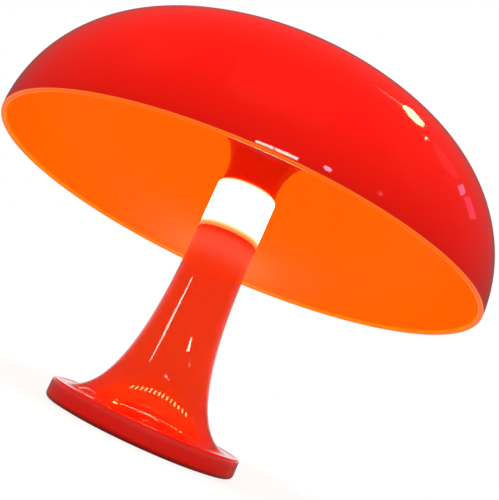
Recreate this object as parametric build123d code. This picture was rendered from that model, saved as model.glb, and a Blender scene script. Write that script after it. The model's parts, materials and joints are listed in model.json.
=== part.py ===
from build123d import *
import math
import os

# A cordless mushroom table lamp: a flared stem with a disc foot, an opal light
# drum on top of it, and a wide dome shade that screws down over the drum on a
# trumpet-shaped neck. Millimetres, +Z up, origin at the centre of the face that
# the lamp stands on. The back of the lamp, with socket and button, faces +Y.

# ---- overall sizes
lamp_height = 259.2
pad_proud = 0.6            # the soft pad stands this far out of the foot

# ---- shade
belly_radius = 160.1       # the shade at its widest
belly_height = 146.4
rim_height = 141.0
side_arc = 91.1            # radius of the rounded side
shade_wall = 3.0
boss_radius = 8.0          # under the crown, holds the tie rod
boss_bottom = 238.0
insert_radius = 4.5
insert_length = 12.0
rod_radius = 2.5           # the tie rod
rod_tail = 7.0             # how far it reaches under the neck's web
rod_point = 0.6            # bevel at its ends
nut_flats = 8.0
nut_height = 3.2
nut_washer = (5.4, 1.0)    # radius and thickness

# ---- neck, the trumpet that joins shade and drum
neck_radius = 18.7
neck_wall = 2.2
neck_bottom = 172.1
flare_start = 177.8
flare_arc = 36.5
flare_turn = math.radians(48)
cove_arc = 16.0            # where the trumpet sweeps out along the ceiling
flange_radius = 90.0
web_bottom = 190.5
web_height = 2.5
web_hole = 9.0

# ---- spigot that the neck screws down on, two turns of 3 mm pitch
spigot_radius = 11.9
spigot_top = 183.0
thread_gap = 0.3
ring_bottom = 174.8
ring_web = 3.0             # the ring's floor, which the tie rod passes through
ring_fit = 0.05            # between ring and neck
washer_height = 1.2
rim_gap = 0.6              # from washer and cap to the neck's inner wall

# ---- drum (the opal diffuser) and what stands in it
drum_radius = 20.3
drum_top = 171.8
drum_wall = 2.0
drum_shoulder = 3.2
drum_hole = 12.4
skirt_radius = 17.7
skirt_wall = 1.8
gasket_height = 1.0
cap_flange = 1.6
post_top = 169.3
post_flats = 15.0          # across the flats of the hexagonal post
post_flange_radius = 15.4
post_flange_height = 3.0
strip_width = 8.0
strip_height = 28.0
strip_bottom = 139.8
strip_thickness = 1.0
chips_per_strip = 4
chip_size = (0.8, 3.5, 2.8)
post_screw_circle = 12.0
post_screw_angles = (30, 150, 270)
cap_well = 5.6
cap_screw_radius = 2.0
cap_head = (3.6, 2.4)      # radius and height of its head
cap_key = (1.5, 1.5)       # radius and depth of the hexagon in the head
cap_screw_seat = 174.5
cap_screw_end = 160.0
wire_bore_radius = 3.2
wire_exit = 137.0          # where the leads come out of the post
wire_exit_radius = 2.0

# ---- stem and foot, one moulding
stem_radius = 20.6
stem_top = 137.3
stem_edge = 1.8            # rounding round the mouth
flare_top = 134.6
stem_socket = 18.0         # inside radius that takes the drum's skirt
bulkhead_top = 131.3
bulkhead = 3.0
wire_hole = 4.5
foot_radius = 62.2
foot_edge = 12.9           # height of the disc's upper edge
edge_round = 1.3
heel_round = 3.0
stem_wall = 2.5
rim_wall = 3.2
roof_reach = 30.0          # far enough for a screw boss to pass into the roof
flare_pull = -5.4          # how low the stem's side aims before it turns out
flare_lead = (2.8, 1.2)    # how flat it runs out on the disc

# ---- under the foot
plate_bottom = 1.0
plate_thickness = 2.4
plate_gap = 0.3
pad_inner = 44.0
pad_outer = 56.0
pad_groove = 0.6
boss_circle = 38.0
boss_angles = (30, 150, 210, 330)
ballast_radius = 50.0
ballast_height = 6.0
hub_radius = 20.0
hub_height = 3.0
ballast_screw_circle = 47.0
ballast_screw_angles = (0, 180, 270)

# ---- control board, socket and button, all at the back
board_inner = 36.0
board_outer = 56.8
board_bottom = 4.6
board_thickness = 1.2
board_from = 50            # degrees round from +X
board_to = 108
board_screw_spots = ((41, 54), (51, 77), (41, 103))
port_height = 7.43         # centre line of the charging socket
port_width = 8.94
port_thickness = 3.26
port_depth = 7.35
port_shell = 0.3
port_back = 1.4            # solid back of the socket
port_recess = 0.2          # how far its mouth lies inside the wall's face
button_angle = 64
button_height = 7.4
button_radius = 2.6
button_travel = 1.0
button_proud = 0.7
button_back = 55.4         # where the button meets the switch's plunger
plunger_radius = 1.25
switch_front = 53.4
switch_depth = 5.0
tongue = (6.7, 0.7, 4.45)  # width, thickness and length
switch_width = 6.2
switch_back_wall = 1.2
ears = (2.6, 9.0, 1.2)     # height, width and thickness of the button's ears
ears_back = 57.15
board_blocks = (           # length, width, height; circle; degrees round
    ((5.0, 5.0, 1.0), 47, 86),
    ((4.0, 5.0, 1.75), 43, 71),
    ((5.0, 5.0, 2.8), 42.5, 62.5),
    ((3.0, 1.6, 0.8), 39, 91),
    ((3.0, 1.6, 0.8), 39, 78),
)
board_cans = ((50, 99), (52, 71))
can_size = (2.0, 3.6)      # radius and height

# ---- battery
cell_radius = 9.2
cell_length = 65.0
cell_gap = 0.3
cradle_ear = -15.5         # where the cradle is screwed to the ballast
cradle_screws_x = (-7.0, 7.0)
lead_radius = 0.7
end_plate = 2.0
contact = 0.4
terminal = (3.0, 1.0)      # radius and height of a cell's raised end
spine = (9.0, 1.8)         # width and thickness of the cradle's spine
strip_wide = 7.0           # the contact strips

# ---- screws: radius, length, head's radius, head's height
plate_screw = (1.4, 9.5, 2.8, 1.2)
post_screw = (1.4, 5.5, 2.6, 2.0)
board_screw = (1.0, 5.0, 1.9, 1.0)
cradle_screw = (1.25, 4.5, 2.2, 1.4)
ballast_screw = (1.4, 2.8, 1.4)          # radius, countersunk head's radius and height
play = 0.3                 # round a screw that passes through a hole
plate_boss = (4.0, 1.5, 10.0)            # radius, pilot's radius and depth
board_boss = (2.6, 1.1, 5.0)
plate_sink = (3.1, 1.4)    # the recess for a plate screw's head, radius and depth

plate_top = plate_bottom + plate_thickness
strip_middle = strip_bottom + strip_height / 2
board_top = board_bottom + board_thickness
ballast_top = plate_top + ballast_height
hub_top = ballast_top + hub_height
cell_bottom = hub_top + end_plate + contact
cell_top = cell_bottom + cell_length
web_top = web_bottom + web_height

# The crown is one large arc about the axis, tangent to the side arc.
side_centre = belly_radius - side_arc
rise = lamp_height - belly_height
crown_arc = (side_centre**2 + rise**2 - side_arc**2) / (2 * (rise - side_arc))
crown_centre = lamp_height - crown_arc
join_angle = math.atan2(belly_height - crown_centre, side_centre)
lip_radius = shade_wall / 2
lip_angle = math.asin((rim_height + lip_radius / 2 - belly_height) / side_arc)


def on_circle(radius, angle, r=0.0, z=0.0):
    """The point at an angle, in radians, on a circle about (r, z)."""
    return (r + radius * math.cos(angle), z + radius * math.sin(angle))


def turned(*outline):
    """Revolve a closed outline, drawn as radius and height, about the axis."""
    return revolve(make_face([Plane.XZ * edge for edge in outline]), Axis.Z)


def tube(outer, inner, bottom, top):
    """A plain ring or sleeve about the axis."""
    height = top - bottom
    ring = Cylinder(outer, height) - Cylinder(inner, height)
    return Pos(0, 0, bottom + height / 2) * ring


def rod(radius, bottom, top, x=0.0, y=0.0):
    """An upright round rod."""
    return Pos(x, y, (bottom + top) / 2) * Cylinder(radius, top - bottom)


def spot(circle, degrees):
    """The x and y of a place on a circle about the axis."""
    return on_circle(circle, math.radians(degrees))


def arc(centre, radius, start, end):
    """An arc about a centre (r, z) from one angle to another, in radians."""
    middle = (start + end) / 2
    places = [on_circle(radius, angle, *centre) for angle in (start, middle, end)]
    return ThreePointArc(*places)


def screw(shank, length, head, head_height):
    """A screw with its head's seat at z = 0, the shank going up, with few faces."""
    top = extrude(RegularPolygon(head, 8), -head_height)
    top = chamfer(top.faces().sort_by(Axis.Z)[0].edges(), head_height * 0.3)
    return top + extrude(RegularPolygon(shank, 8), length)


def bore(radius, bottom, top, x=0.0, y=0.0):
    """A hidden screw hole or boss, eight-sided as the screws are."""
    return Pos(x, y, bottom) * extrude(RegularPolygon(radius, 8), top - bottom)


def beside(points, gap):
    """The corners of a line that runs beside another one, on its right."""
    lines = [Vector(*b) - Vector(*a) for a, b in zip(points, points[1:])]
    sides = [Vector(line.Y, -line.X).normalized() for line in lines]
    moved = [Vector(*points[0]) + sides[0] * gap]
    for place, before, after in zip(points[1:], sides, sides[1:]):
        moved.append(Vector(*place) + (before + after) * (gap / (1 + before.dot(after))))
    moved.append(Vector(*points[-1]) + sides[-1] * gap)
    return moved


# ---- the shade


def shade_dome():
    side = (side_centre, belly_height)
    crown = (0, crown_centre)
    inner_side = side_arc - shade_wall
    inner_crown = crown_arc - shade_wall
    top = math.pi / 2
    lip_centre = on_circle(side_arc - lip_radius, lip_angle, *side)
    shell = turned(
        arc(side, side_arc, lip_angle, join_angle),
        arc(crown, crown_arc, join_angle, top),
        Line((0, lamp_height), (0, lamp_height - shade_wall)),
        arc(crown, inner_crown, top, join_angle),
        arc(side, inner_side, join_angle, lip_angle),
        arc(lip_centre, lip_radius, lip_angle - math.pi, lip_angle),
    )
    boss = rod(boss_radius, boss_bottom, lamp_height - shade_wall / 2)
    hole = rod(insert_radius, boss_bottom, boss_bottom + insert_length)
    return shell + boss - hole


def neck_flare():
    """The trumpet: straight, an arc, a cone, then a cove out to a flange."""
    ceiling = crown_arc - shade_wall
    face = ceiling - neck_wall
    flare = (neck_radius + flare_arc, flare_start)
    along = Vector(math.sin(flare_turn), math.cos(flare_turn))
    out = Vector(math.cos(flare_turn), -math.sin(flare_turn))
    cone_foot = Vector(*on_circle(flare_arc, math.pi - flare_turn, *flare))

    # The cove touches the cone, and the sphere of the flange's lower face.
    start = cone_foot + out * cove_arc - Vector(0, crown_centre)
    lead = start.dot(along)
    reach = math.sqrt(lead**2 - start.dot(start) + (face - cove_arc) ** 2) - lead
    cone_head = cone_foot + along * reach
    cove = cone_head + out * cove_arc
    cove_end = math.atan2(cove.Y - crown_centre, cove.X)
    cove_start = math.pi - flare_turn
    flange_angle = math.acos(flange_radius / ceiling)
    flange_lower = math.acos((flange_radius - neck_wall) / face)

    web_angle = math.asin((web_top - flare_start) / (flare_arc + neck_wall))
    web_outer = on_circle(flare_arc + neck_wall, math.pi - web_angle, *flare)
    mouth = neck_radius - neck_wall
    head_inside = cone_head - out * neck_wall
    foot_inside = cone_foot - out * neck_wall
    flange_tip = on_circle(ceiling, flange_angle, 0, crown_centre)
    flange_foot = on_circle(face, flange_lower, 0, crown_centre)

    return turned(
        Line((mouth, neck_bottom), (neck_radius, neck_bottom)),
        Line((neck_radius, neck_bottom), (neck_radius, flare_start)),
        arc(flare, flare_arc, math.pi, math.pi - flare_turn),
        Line(cone_foot, cone_head),
        arc((cove.X, cove.Y), cove_arc, cove_start, cove_end),
        arc((0, crown_centre), face, cove_end, flange_lower),
        Line(flange_foot, flange_tip),
        arc((0, crown_centre), ceiling, flange_angle, cove_end),
        arc((cove.X, cove.Y), cove_arc + neck_wall, cove_end, cove_start),
        Line(head_inside, foot_inside),
        arc(flare, flare_arc + neck_wall, math.pi - flare_turn, math.pi - web_angle),
        Line(web_outer, (web_hole, web_top)),
        Line((web_hole, web_top), (web_hole, web_bottom)),
        Line((web_hole, web_bottom), (mouth, web_bottom)),
        Line((mouth, web_bottom), (mouth, neck_bottom)),
    )


def neck_thread_ring():
    """The nylon nut pressed into the neck's mouth; its thread is a plain bore here."""
    outer = neck_radius - neck_wall - ring_fit
    floor = web_bottom - ring_web
    ring = tube(outer, spigot_radius + thread_gap, ring_bottom, floor)
    web = tube(outer, rod_radius + thread_gap, floor, web_bottom)
    mouth_edge = ring.edges().filter_by(GeomType.CIRCLE).group_by(Axis.Z)[0]
    return chamfer(mouth_edge, 0.4) + web


def dome_insert():
    return tube(insert_radius, rod_radius, boss_bottom, boss_bottom + insert_length)


def tie_rod():
    thread = rod(rod_radius, web_bottom - rod_tail, boss_bottom + insert_length - 1)
    return chamfer(thread.edges().filter_by(GeomType.CIRCLE), rod_point)


def tie_nut():
    """A hexagonal nut and its washer, under the web of the thread ring."""
    seat = web_bottom - ring_web
    radius, thickness = nut_washer
    washer = tube(radius, rod_radius, seat - thickness, seat)
    hexagon = RegularPolygon(nut_flats / 2, 6, major_radius=False) - Circle(rod_radius)
    return washer + Pos(0, 0, seat - thickness - nut_height) * extrude(hexagon, nut_height)


def neck_washer():
    """The loose nylon washer that the neck turns on as it screws down."""
    bottom = drum_top + cap_flange + 0.1
    outer = neck_radius - neck_wall - rim_gap
    return tube(outer, spigot_radius + thread_gap, bottom, bottom + washer_height)


# ---- the drum and the light in it


def diffuser():
    """The opal drum: a skirt in the stem's mouth, the wall and a holed top."""
    skirt_bottom = bulkhead_top + gasket_height
    skirt = tube(skirt_radius, skirt_radius - skirt_wall, skirt_bottom, stem_top + 2)
    wall = rod(drum_radius, stem_top, drum_top)
    wall = fillet(wall.edges().sort_by(Axis.Z)[-1], drum_shoulder)
    wall = chamfer(wall.edges().sort_by(Axis.Z)[0], 0.4)
    hollow = rod(drum_radius - drum_wall, stem_top + 2, drum_top - drum_wall)
    hollow = chamfer(hollow.edges().sort_by(Axis.Z)[-1], drum_shoulder - drum_wall)
    bore = rod(skirt_radius - skirt_wall, skirt_bottom, stem_top + 3)
    return skirt + wall - hollow - bore - rod(drum_hole, drum_top - 5, drum_top + 1)


def diffuser_gasket():
    inner = skirt_radius - skirt_wall + 0.2
    return tube(skirt_radius, inner, bulkhead_top, bulkhead_top + gasket_height)


def spigot_cap():
    """The cap that clamps the drum and carries the thread for the neck."""
    locator = rod(drum_hole - 0.2, post_top, drum_top)
    flange = rod(neck_radius - neck_wall - rim_gap, drum_top, drum_top + cap_flange)
    spigot = rod(spigot_radius, drum_top + cap_flange, spigot_top)
    spigot = chamfer(spigot.edges().sort_by(Axis.Z)[-1], 0.8)
    well = rod(cap_well, cap_screw_seat, spigot_top)
    return locator + flange + spigot - well - rod(cap_screw_radius + 0.15, post_top, spigot_top)


def cap_screw():
    top = cap_screw_seat + cap_head[1]
    head = rod(cap_head[0], cap_screw_seat, top)
    head = chamfer(head.edges().sort_by(Axis.Z)[-1], 0.7)
    key = Pos(0, 0, top) * extrude(RegularPolygon(cap_key[0], 6), -cap_key[1])
    return head - key + rod(cap_screw_radius, cap_screw_end, cap_screw_seat)


def light_post():
    """The aluminium post: it holds the light strips and sinks their heat."""
    flange_top = bulkhead_top + post_flange_height
    flange = rod(post_flange_radius, bulkhead_top, flange_top)
    hexagon = RegularPolygon(post_flats / 2, 6, major_radius=False)
    post = Pos(0, 0, flange_top) * extrude(hexagon, post_top - flange_top)
    wire_bore = rod(wire_bore_radius, bulkhead_top, wire_exit + wire_bore_radius)
    side_hole = Rot(90, 0, 0) * Cylinder(wire_exit_radius, post_flats)
    side_hole = Pos(0, post_flats / 2, wire_exit) * side_hole
    thread = rod(cap_screw_radius + 0.05, cap_screw_end - 2, post_top)
    holes = [bore(post_screw[0] + play, bulkhead_top, flange_top, *spot(post_screw_circle, at))
             for at in post_screw_angles]
    return flange + post - wire_bore - side_hole - thread - holes


def post_screws():
    head_seat = bulkhead_top + post_flange_height
    fixing = Rot(180, 0, 0) * screw(*post_screw)
    return [Pos(*spot(post_screw_circle, at), head_seat) * fixing for at in post_screw_angles]


def led_strips():
    """Six narrow boards, one on each flat of the post."""
    strip = Box(strip_thickness, strip_width, strip_height)
    middle = post_flats / 2 + strip_thickness / 2
    return around_post(Pos(middle, 0, strip_middle) * strip)


def led_chips():
    chip = Box(*chip_size)
    middle = post_flats / 2 + strip_thickness + chip_size[0] / 2
    step = strip_height / chips_per_strip
    chips = []
    for row in range(chips_per_strip):
        height = strip_middle + (row - (chips_per_strip - 1) / 2) * step
        chips += around_post(Pos(middle, 0, height) * chip)
    return chips


def around_post(piece):
    """The piece, repeated on the six flats of the post."""
    return [Rot(0, 0, 30 + 60 * flat) * piece for flat in range(6)]


# ---- stem and foot


def stem_outline():
    """The outer profile of the moulding, from the axis round to the axis."""
    edge_top = (foot_radius - edge_round, foot_edge)
    lead_in = (edge_top[0] - flare_lead[0], foot_edge + flare_lead[1])
    heel = (foot_radius - heel_round, pad_proud + heel_round)
    heel_middle = on_circle(heel_round, -math.pi / 4, *heel)
    shoulder = (foot_radius - edge_round, foot_edge - edge_round)
    edge_middle = on_circle(edge_round, math.pi / 4, *shoulder)
    mouth = (stem_radius - stem_edge, stem_top - stem_edge)
    flare = ((stem_radius, flare_top), (stem_radius - 1.9, flare_pull), lead_in, edge_top)
    return flare, [
        Line((0, pad_proud), (heel[0], pad_proud)),
        Line((heel[0], pad_proud), heel_middle),
        Line(heel_middle, (foot_radius, heel[1])),
        Line((foot_radius, heel[1]), (foot_radius, shoulder[1])),
        Line((foot_radius, shoulder[1]), edge_middle),
        Line(edge_middle, edge_top),
        Bezier(*flare),
        Line((stem_radius, flare_top), (stem_radius, mouth[1])),
        arc(mouth, stem_edge, 0, math.pi / 2),
        Line((mouth[0], stem_top), (0, stem_top)),
        Line((0, stem_top), (0, pad_proud)),
    ]


def stem_housing():
    """The foot and stem in one shell, with its bulkhead and screw bosses."""
    flare, outline = stem_outline()
    solid = turned(*outline)
    inside = beside(flare, stem_wall)
    hollow = turned(
        Line((0, pad_proud), (inside[-1].X, pad_proud)),
        Line((inside[-1].X, pad_proud), inside[-1]),
        Bezier(*inside),
        Line(inside[0], (0, inside[0].Y)),
        Line((0, inside[0].Y), (0, pad_proud)),
    )
    hollow = hollow & rod(foot_radius - rim_wall, pad_proud, bulkhead_top - bulkhead)
    socket = rod(stem_socket, bulkhead_top, stem_top)
    wires = rod(wire_hole, bulkhead_top - bulkhead, bulkhead_top)
    places = [(plate_boss, plate_top, spot(boss_circle, at)) for at in boss_angles]
    places += [(board_boss, board_top, spot(*where)) for where in board_screw_spots]
    posts = [bore(size[0], low, low + roof_reach, *at) for size, low, at in places]
    pilots = [bore(size[1], low, low + size[2], *at) for size, low, at in places]
    pilots += [bore(post_screw[0], bulkhead_top - bulkhead, bulkhead_top,
                    *spot(post_screw_circle, at)) for at in post_screw_angles]
    shell = solid - hollow - socket - wires + [post & solid for post in posts]
    return shell - pilots - port_window() - button_hole()


def port_window():
    """The slot in the back of the foot that the charging socket looks out of."""
    slot = SlotOverall(port_width + 0.4, port_thickness + 0.4)
    window = extrude(slot, rim_wall * 2)
    return Pos(0, foot_radius + rim_wall / 2, port_height) * Rot(90, 0, 0) * window


def button_hole():
    return on_button_axis(Cylinder(button_radius + 0.3, rim_wall * 3), foot_radius)


def on_button_axis(piece, out):
    """Turn a piece made along +Z to point out of the foot, at a radius."""
    return Rot(0, 0, button_angle) * Pos(out, 0, button_height) * Rot(0, 90, 0) * piece


def base_plate():
    plate = rod(foot_radius - rim_wall - plate_gap, plate_bottom, plate_top)
    plate = chamfer(plate.edges().sort_by(Axis.Z)[0], 0.3)
    groove = tube(pad_outer + 0.1, pad_inner - 0.1, plate_bottom, plate_bottom + pad_groove)
    holes = []
    for at in boss_angles:
        radius, depth = plate_sink
        holes.append(rod(plate_screw[0] + play, plate_bottom, plate_top, *spot(boss_circle, at)))
        holes.append(rod(radius, plate_bottom, plate_bottom + depth, *spot(boss_circle, at)))
    for at in ballast_screw_angles:
        floor = plate_bottom + pad_groove
        depth = plate_top - floor
        sink = Cone(ballast_screw[1] + play, ballast_screw[0] + play, depth)
        holes.append(Pos(*spot(ballast_screw_circle, at), floor + depth / 2) * sink)
    return plate - groove - holes


def foot_pad():
    pad = tube(pad_outer, pad_inner, 0, plate_bottom + pad_groove)
    return chamfer(pad.edges().filter_by(GeomType.CIRCLE).group_by(Axis.Z)[0], 0.4)


def plate_screws():
    seat = plate_bottom + plate_sink[1]
    return [Pos(*spot(boss_circle, at), seat) * screw(*plate_screw) for at in boss_angles]


def ballast_disc():
    """The cast-iron weight, stepped up in the middle and cut away for the board."""
    disc = rod(ballast_radius, plate_top, ballast_top)
    disc = chamfer(disc.edges().sort_by(Axis.Z)[-1], 0.8)
    hub = rod(hub_radius, ballast_top, hub_top)
    gap = sector(board_inner - 3, ballast_radius + 2, board_from - 5, board_to + 5)
    gap = extrude(gap, hub_top + 1)
    holes = [bore(plate_boss[0] + 1, plate_top, ballast_top, *spot(boss_circle, at))
             for at in boss_angles]
    holes += [bore(ballast_screw[0], plate_top, ballast_top - 1, *spot(ballast_screw_circle, at))
              for at in ballast_screw_angles]
    holes += [bore(cradle_screw[0], ballast_top - 3, hub_top, x, cradle_ear)
              for x in cradle_screws_x]
    return disc + hub - gap - holes


def sector(inner, outer, start, end):
    """A flat slice of a ring between two angles in degrees."""
    turn = end - start
    corners = [on_circle(outer * 1.6, math.radians(start + turn * part / 4)) for part in range(5)]
    slice_ = make_face(Polyline((0, 0), *corners, close=True))
    return (Circle(outer) - Circle(inner)) & slice_


def ballast_screws():
    radius, head_radius, height = ballast_screw
    floor = plate_bottom + pad_groove
    ends = (Plane.XY * RegularPolygon(head_radius, 8), Plane.XY.offset(height) * RegularPolygon(radius, 8))
    fixing = Pos(0, 0, floor) * loft(ends) + bore(radius, floor + height, ballast_top - 1.5)
    return [Pos(*spot(ballast_screw_circle, at)) * fixing for at in ballast_screw_angles]


# ---- control board, socket and button


def control_board():
    """A board cut to the curve of the foot, on three bosses."""
    board = extrude(sector(board_inner, board_outer, board_from, board_to), board_thickness)
    board = fillet(board.edges().filter_by(Axis.Z), 1.5)
    radius = board_screw[0] + play
    holes = [bore(radius, 0, board_thickness, *spot(*where)) for where in board_screw_spots]
    return Pos(0, 0, board_bottom) * (board - holes)


def board_screws():
    return [Pos(*spot(*where), board_bottom) * screw(*board_screw) for where in board_screw_spots]


def board_parts():
    """What stands on the board: the charger, the driver, a coil and two capacitors."""
    blocks = []
    for size, circle, at in board_blocks:
        block = extrude(Rectangle(*size[:2]), size[2])
        block = chamfer(block.faces().sort_by(Axis.Z)[-1].edges(), 0.25)
        blocks.append(Rot(0, 0, at) * Pos(circle, 0, board_top) * block)
    for circle, at in board_cans:
        radius, height = can_size
        blocks.append(rod(radius, board_top, board_top + height, *spot(circle, at)))
    return blocks


def charge_socket():
    """The socket's metal shell with its tongue, made along +Z and then laid down."""
    outer = extrude(SlotOverall(port_width, port_thickness), port_depth)
    inner = SlotOverall(port_width - 2 * port_shell, port_thickness - 2 * port_shell)
    cavity = Pos(0, 0, port_back) * extrude(inner, port_depth)
    width, thickness, length = tongue
    blade = Pos(0, 0, port_back) * extrude(Rectangle(width, thickness), length)
    front = foot_radius - port_recess
    shell = outer - cavity + blade
    return Pos(0, front - port_depth, port_height) * Rot(-90, 0, 0) * shell


def switch_body():
    """The side-push switch on the board, with the bore that its plunger runs in."""
    height = 2 * (button_height - board_top)
    box = extrude(Rectangle(height, switch_width), -switch_depth)
    box = chamfer(box.faces().sort_by(Axis.Z)[0].edges(), 0.3)
    well = rod(plunger_radius + 0.1, switch_back_wall - switch_depth, 0)
    return on_button_axis(box - well, switch_front)


def switch_plunger():
    inner = switch_front - switch_depth + switch_back_wall + button_travel + 0.2
    return on_button_axis(rod(plunger_radius, 0, button_back - inner), inner)


def power_button():
    """The button's cap, with the ears that keep it in the wall of the foot."""
    height, width, thickness = ears
    cap = rod(button_radius, thickness, foot_radius + button_proud - ears_back)
    cap = chamfer(cap.edges().sort_by(Axis.Z)[-1], 0.4)
    bar = extrude(RectangleRounded(height, width, 0.6), thickness)
    neck = rod(plunger_radius, button_back - ears_back, 0)
    return on_button_axis(cap + bar + neck, ears_back)


# ---- battery and wiring


def battery_cells():
    side = cell_radius + cell_gap / 2
    radius, height = terminal
    cells = []
    for x in (-side, side):
        can = rod(cell_radius, cell_bottom, cell_top - height, x)
        can = chamfer(can.edges().sort_by(Axis.Z)[-1], 0.7)
        cells.append(can + rod(radius, cell_top - height, cell_top, x))
    return cells


def cell_end(bottom, thickness):
    """A plate under or over both cells, with rounded ends."""
    plate = extrude(SlotOverall(4 * cell_radius + 0.8, 2 * cell_radius + 0.8), thickness)
    return Pos(0, 0, bottom) * plate


def battery_cradle():
    """Two end plates, a spine between them and the ears for its screws."""
    bottom = hub_top
    top = cell_top + contact
    width, thickness = spine
    length = top + end_plate - bottom
    beam = Box(width, thickness, length)
    beam = Pos(0, -(cell_radius + cell_gap + thickness / 2), bottom + length / 2) * beam
    foot = extrude(RectangleRounded(22, 12, 3), end_plate)
    foot = Pos(0, cradle_ear + 2.5, bottom) * foot
    lugs = Pos(0, 9.4, bottom) * extrude(RectangleRounded(9, 6, 1.5), end_plate)
    radius = cradle_screw[0] + play
    holes = [bore(radius, bottom, bottom + end_plate, x, cradle_ear) for x in cradle_screws_x]
    frame = cell_end(bottom, end_plate) + cell_end(top, end_plate) + foot + lugs
    return frame + beam - holes


def cradle_screws():
    fixing = Rot(180, 0, 0) * screw(*cradle_screw)
    return [Pos(x, cradle_ear, hub_top + end_plate) * fixing for x in cradle_screws_x]


def battery_contacts():
    """A strip that joins the cells at the top, and a tab under each cell."""
    side = cell_radius + cell_gap / 2
    tab = extrude(Rectangle(spine[0], strip_wide), contact)
    strip = extrude(Rectangle(2 * side + spine[0], strip_wide), contact)
    tabs = [Pos(x, 0, cell_bottom - contact) * tab for x in (-side, side)]
    return [Pos(0, 0, cell_top) * strip] + tabs


def wire(radius, route, bends):
    """A lead along straight runs joined by bends, five-sided to keep its faces few."""
    path = FilletPolyline(*route, radius=bends)
    return sweep(Plane(path @ 0, z_dir=path % 0) * RegularPolygon(radius, 5), path=path)


def pair(radius, route, apart, bends):
    """Two leads side by side in X."""
    return [wire(radius, [(x + side, y, z) for x, y, z in route], bends)
            for side in (-apart / 2, apart / 2)]


def lamp_leads():
    """From the board up the back of the stem, into the post and out to a strip."""
    up = cell_radius + 4.0
    board_pad = 42.0
    strip_end = post_flats / 2 + lead_radius + 0.05
    route = [
        (0, board_pad, board_top), (0, board_pad, board_top + 6), (0, up, hub_top + 14),
        (0, up, bulkhead_top - 24), (0, 0, bulkhead_top - 8), (0, 0, wire_exit),
        (0, strip_end, wire_exit), (0, strip_end, strip_bottom),
    ]
    return pair(lead_radius, route, 2 * lead_radius + 0.4, [3, 6, 6, 6, 3, 2])


def battery_leads():
    """From the lug behind the cells to the board."""
    low = hub_top + end_plate / 2
    lug = cell_radius + 3.2
    board_pad = 39.0
    route = [(0, lug, low), (0, 28, low), (0, board_pad, low - 1.5), (0, board_pad, board_top)]
    return pair(lead_radius, route, 9.0, [6, 3])


# ---- every piece, by the name of its file
makers = (
    shade_dome, neck_flare, neck_thread_ring, tie_rod, tie_nut, dome_insert, neck_washer,
    diffuser, diffuser_gasket, spigot_cap, cap_screw, light_post, post_screws, led_strips, led_chips,
    stem_housing, base_plate, foot_pad, plate_screws, ballast_disc, ballast_screws,
    control_board, board_parts, board_screws, charge_socket, switch_body, switch_plunger,
    power_button, battery_cells, battery_cradle, cradle_screws, battery_contacts,
    lamp_leads, battery_leads,
)

os.makedirs("parts", exist_ok=True)
for maker in makers:
    made = maker()
    if isinstance(made, list):
        made = Compound(children=made)
    export_step(made, f"parts/{maker.__name__}.step")
    print(maker.__name__, len(made.solids()), round(made.volume))
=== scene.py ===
import json
import math
import bmesh
import bpy
from mathutils import Matrix, Vector
from mathutils.geometry import interpolate_bezier
from mathutils.interpolate import poly_3d_calc


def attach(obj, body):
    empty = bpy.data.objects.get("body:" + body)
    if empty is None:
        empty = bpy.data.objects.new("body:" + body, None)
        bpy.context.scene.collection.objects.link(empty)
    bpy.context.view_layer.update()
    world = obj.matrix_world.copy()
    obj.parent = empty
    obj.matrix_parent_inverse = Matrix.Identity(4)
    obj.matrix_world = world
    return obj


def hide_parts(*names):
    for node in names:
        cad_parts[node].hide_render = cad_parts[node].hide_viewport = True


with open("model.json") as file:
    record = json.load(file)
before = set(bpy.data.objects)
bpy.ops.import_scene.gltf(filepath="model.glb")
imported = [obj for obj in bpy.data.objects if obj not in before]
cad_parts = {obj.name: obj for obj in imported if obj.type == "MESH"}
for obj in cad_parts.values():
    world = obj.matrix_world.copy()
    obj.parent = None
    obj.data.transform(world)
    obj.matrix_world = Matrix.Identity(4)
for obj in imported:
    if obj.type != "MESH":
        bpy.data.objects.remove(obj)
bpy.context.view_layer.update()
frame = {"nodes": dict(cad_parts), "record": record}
print("frame loaded")

# A mushroom table lamp: flared stem on a disc foot, opal light drum, dome shade on
# a trumpet neck. Sizes are in millimetres along the lamp's axis and out from it.
mm = 0.001


# small tools

def linear(code):
    channels = [int(code[place:place + 2], 16) / 255 for place in (1, 3, 5)]
    return [c / 12.92 if c <= 0.04045 else ((c + 0.055) / 1.055) ** 2.4 for c in channels] + [1]


def addNode(tree, kind, settings, links=None):
    node = tree.nodes.new(kind)
    for name, value in settings.items():
        if name in node.inputs:
            node.inputs[name].default_value = value
        else:
            setattr(node, name, value)
    for name, source in (links or {}).items():
        tree.links.new(source, node.inputs[name])
    return node


def smoothStep(tree, value, start, end, low=0.0, high=1.0):
    # from low to high while the value runs from start to end
    return addNode(tree, "ShaderNodeMapRange", {
        "interpolation_type": "SMOOTHSTEP", "From Min": start, "From Max": end, "To Min": low,
        "To Max": high}, {"Value": value}).outputs["Result"]


def combine(tree, operation, first, second):
    node = addNode(tree, "ShaderNodeMath", {"operation": operation})
    tree.links.new(first, node.inputs[0])
    tree.links.new(second, node.inputs[1])
    return node.outputs[0]


def mostOf(tree, sockets):
    largest = sockets[0]
    for socket in sockets[1:]:
        largest = combine(tree, "MAXIMUM", largest, socket)
    return largest


def heightOf(tree, place):
    return addNode(tree, "ShaderNodeSeparateXYZ", {}, {"Vector": place}).outputs["Z"]


def startOutline(x, z):
    bm = bmesh.new()
    return bm, bm.verts.new((x * mm, 0, z * mm))


def lineTo(bm, tip, x, z):
    tip = bmesh.ops.extrude_vert_indiv(bm, verts=[tip])["verts"][0]
    tip.co = (x * mm, 0, z * mm)
    return tip


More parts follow.
